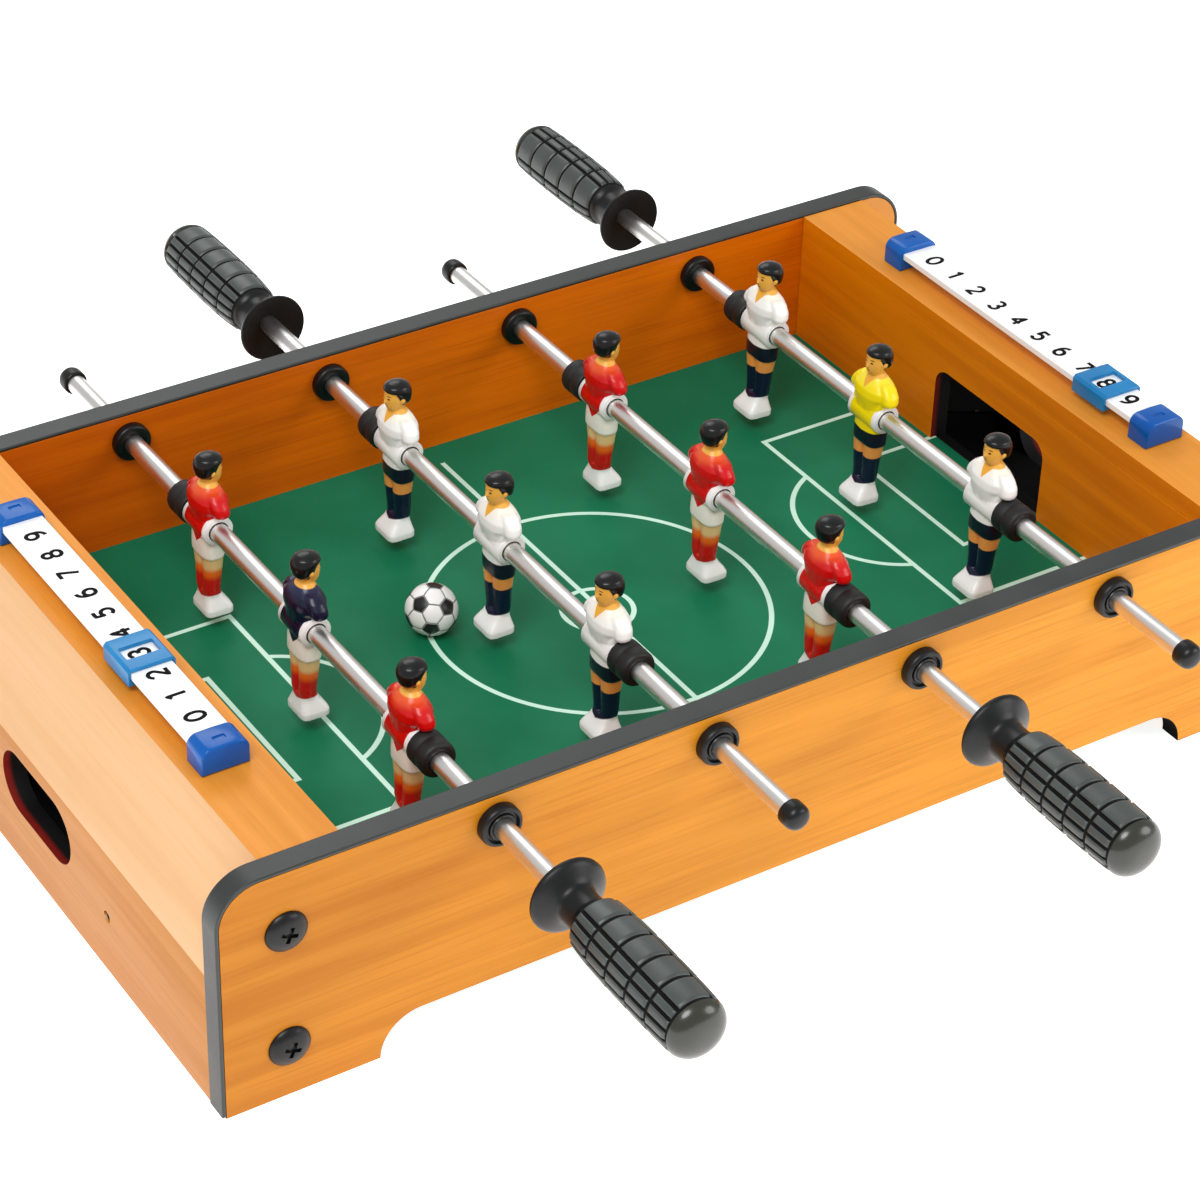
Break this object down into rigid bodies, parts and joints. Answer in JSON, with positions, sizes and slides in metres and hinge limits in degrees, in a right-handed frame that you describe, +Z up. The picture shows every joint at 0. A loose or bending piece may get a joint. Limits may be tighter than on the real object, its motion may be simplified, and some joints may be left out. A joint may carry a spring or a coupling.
{
  "type": "tabletop football table",
  "caption": "Low wooden football table with sliding, spinning player rods, goals with ball returns, sliding score counters and a small ball.",
  "frame": {"origin": "on the floor, under the middle of the pitch", "axes": "+X along the pitch from the left goal to the right goal, +Y along the rods to the far side, +Z up"},
  "size_m": [0.51, 0.572, 0.123],
  "materials": {
    "panel_wood": "satin, honey-orange with a fine grain",
    "edge_trim": "satin dark grey",
    "pitch": "printed green with pale lines",
    "goal_wood": "satin, deep orange",
    "end_wood": "satin, light orange",
    "tray_wood": "matt, dark",
    "score_bar": "white with black digits",
    "score_cap": "gloss blue",
    "score_slider": "gloss light blue",
    "bushing": "satin black",
    "rod_steel": "polished",
    "handle": "satin black with raised pads",
    "bumper": "matt black",
    "red_team": "painted red shirt, white shorts",
    "red_keeper": "painted navy shirt",
    "white_team": "painted white shirt, navy shorts",
    "white_keeper": "painted yellow shirt",
    "ball": "white with black panels"
  },
  "bodies": {
    "table": {"front_side_panel": "panel_wood", "front_edge_trim": "edge_trim", "back_side_panel": "panel_wood", "back_edge_trim": "edge_trim", "playfield": "pitch", "left_goal_wall": "goal_wood", "left_end_board": "end_wood", "left_ball_tray": "tray_wood", "right_goal_wall": "goal_wood", "right_end_board": "end_wood", "right_ball_tray": "tray_wood", "front_bushing_1": "bushing", "front_bushing_2": "bushing", "front_bushing_3": "bushing", "front_bushing_4": "bushing", "back_bushing_1": "bushing", "back_bushing_2": "bushing", "back_bushing_3": "bushing", "back_bushing_4": "bushing", "left_score_bar": "score_bar", "left_score_cap_low": "score_cap", "left_score_cap_high": "score_cap", "right_score_bar": "score_bar", "right_score_cap_low": "score_cap", "right_score_cap_high": "score_cap"},
    "rod_1_slide": {"rod_1": "rod_steel"},
    "rod_1_players": {"handle_1": "handle", "end_cap_1": "handle", "handle_side_bumper_1": "bumper", "cap_side_bumper_1": "bumper", "red_back_1": "red_team", "red_keeper": "red_keeper", "red_back_2": "red_team"},
    "rod_2_slide": {"rod_2": "rod_steel"},
    "rod_2_players": {"handle_2": "handle", "end_cap_2": "handle", "handle_side_bumper_2": "bumper", "cap_side_bumper_2": "bumper", "white_forward_1": "white_team", "white_forward_2": "white_team", "white_forward_3": "white_team"},
    "rod_3_slide": {"rod_3": "rod_steel"},
    "rod_3_players": {"handle_3": "handle", "end_cap_3": "handle", "handle_side_bumper_3": "bumper", "cap_side_bumper_3": "bumper", "red_forward_1": "red_team", "red_forward_2": "red_team", "red_forward_3": "red_team"},
    "rod_4_slide": {"rod_4": "rod_steel"},
    "rod_4_players": {"handle_4": "handle", "end_cap_4": "handle", "handle_side_bumper_4": "bumper", "cap_side_bumper_4": "bumper", "white_back_1": "white_team", "white_keeper": "white_keeper", "white_back_2": "white_team"},
    "left_score_slider": {"left_score_slider": "score_slider"},
    "right_score_slider": {"right_score_slider": "score_slider"},
    "ball": {"ball": "ball"}
  },
  "joints": [
    {"name": "rod_1_push_pull", "type": "slide", "parent": "table", "child": "rod_1_slide", "axis": [0, 1, 0], "range_m": [-0.0255, 0.0425]},
    {"name": "rod_1_spin", "type": "hinge", "parent": "rod_1_slide", "child": "rod_1_players", "pos_m": [-0.1413, 0, 0.091], "axis": [0, 1, 0], "continuous": true},
    {"name": "rod_2_push_pull", "type": "slide", "parent": "table", "child": "rod_2_slide", "axis": [0, 1, 0], "range_m": [-0.036, 0.032]},
    {"name": "rod_2_spin", "type": "hinge", "parent": "rod_2_slide", "child": "rod_2_players", "pos_m": [-0.0471, 0, 0.091], "axis": [0, 1, 0], "continuous": true},
    {"name": "rod_3_push_pull", "type": "slide", "parent": "table", "child": "rod_3_slide", "axis": [0, 1, 0], "range_m": [-0.0255, 0.0425]},
    {"name": "rod_3_spin", "type": "hinge", "parent": "rod_3_slide", "child": "rod_3_players", "pos_m": [0.0471, 0, 0.091], "axis": [0, 1, 0], "continuous": true},
    {"name": "rod_4_push_pull", "type": "slide", "parent": "table", "child": "rod_4_slide", "axis": [0, 1, 0], "range_m": [-0.0405, 0.0275]},
    {"name": "rod_4_spin", "type": "hinge", "parent": "rod_4_slide", "child": "rod_4_players", "pos_m": [0.1413, 0, 0.091], "axis": [0, 1, 0], "continuous": true},
    {"name": "left_score_slide", "type": "slide", "parent": "table", "child": "left_score_slider", "axis": [0, 1, 0], "range_m": [-0.045, 0.09]},
    {"name": "right_score_slide", "type": "slide", "parent": "table", "child": "right_score_slider", "axis": [0, 1, 0], "range_m": [-0.015, 0.12]},
    {"name": "ball_roll_space", "type": "slide", "parent": "table", "child": "ball", "axis": [0, 1, 0], "range_m": [-0.15, 0.109]}
  ]
}
